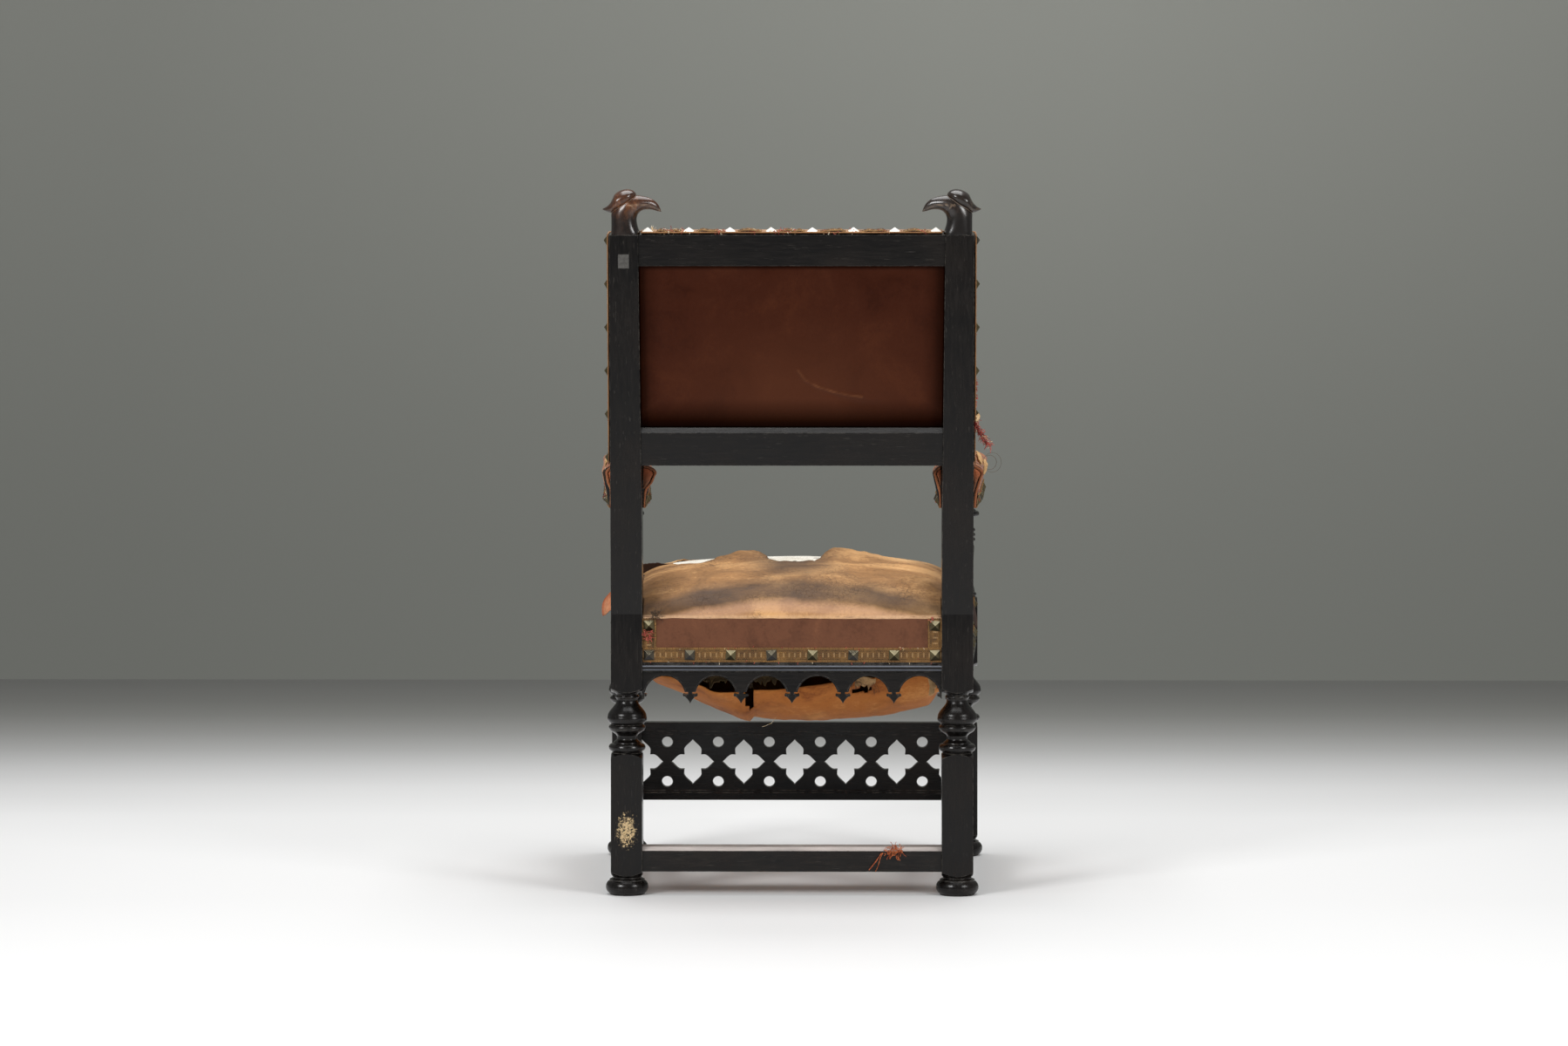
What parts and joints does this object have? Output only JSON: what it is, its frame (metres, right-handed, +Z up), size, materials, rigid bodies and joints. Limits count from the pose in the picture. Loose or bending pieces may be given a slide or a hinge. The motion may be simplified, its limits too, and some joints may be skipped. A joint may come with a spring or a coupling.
{
  "type": "throne chair",
  "caption": "High-backed throne armchair in ebonised wood with torn leather upholstery, carved bird-head finials, an arcaded apron and a pierced front stretcher.",
  "frame": {"origin": "on the floor, under the centre of the chair's bounding box", "axes": "+Z up, -Y the way the sitter faces, +X towards the sitter's left"},
  "size_m": [0.686, 0.6762, 1.1712],
  "materials": {
    "ebonised_wood": "worn satin, stained near black",
    "rubbed_wood": "worn, black stain rubbed to red-brown",
    "raw_wood": "sawn, unfinished",
    "panel_leather": "smooth, dark red-brown",
    "tan_leather": "worn, dry, tan",
    "border_leather": "dull red-brown",
    "under_leather": "torn, orange-tan flesh side",
    "white_cover": "plain woven, off-white",
    "hair_stuffing": "curled hair and fibre",
    "webbing": "coarse jute",
    "gallon": "woven braid, frayed",
    "nails": "tarnished, pyramid heads"
  },
  "bodies": {
    "root": {"rear_post_left": "ebonised_wood", "rear_post_right": "ebonised_wood", "front_leg_left": "ebonised_wood", "front_leg_right": "ebonised_wood", "finial_left": "rubbed_wood", "finial_right": "rubbed_wood", "top_rail": "ebonised_wood", "lower_back_rail": "ebonised_wood", "seat_rail_rear": "ebonised_wood", "seat_rail_front": "ebonised_wood", "seat_rail_left": "ebonised_wood", "seat_rail_right": "ebonised_wood", "apron_rear": "ebonised_wood", "apron_front": "ebonised_wood", "apron_left": "ebonised_wood", "apron_right": "ebonised_wood", "front_stretcher": "ebonised_wood", "rear_stretcher": "ebonised_wood", "side_stretcher_left": "ebonised_wood", "side_stretcher_right": "ebonised_wood", "arm_rail_left": "ebonised_wood", "arm_rail_right": "ebonised_wood", "corner_blocks": "raw_wood", "back_tacking_strips": "raw_wood", "seat_webbing": "webbing", "seat_hessian": "webbing", "seat_stuffing": "hair_stuffing", "seat_undercover": "white_cover", "seat_leather": "tan_leather", "seat_borders": "border_leather", "under_seat_leather": "under_leather", "back_webbing": "webbing", "back_stuffing": "hair_stuffing", "back_leather": "tan_leather", "outer_back_panel": "panel_leather", "arm_stuffing_left": "hair_stuffing", "arm_stuffing_right": "hair_stuffing", "arm_leather_left": "tan_leather", "arm_leather_right": "tan_leather", "seat_gallon": "gallon", "back_gallon": "gallon", "arm_gallon_left": "gallon", "arm_gallon_right": "gallon", "seat_nails": "nails", "back_nails": "nails", "arm_nails_left": "nails", "arm_nails_right": "nails"}
  },
  "joints": []
}
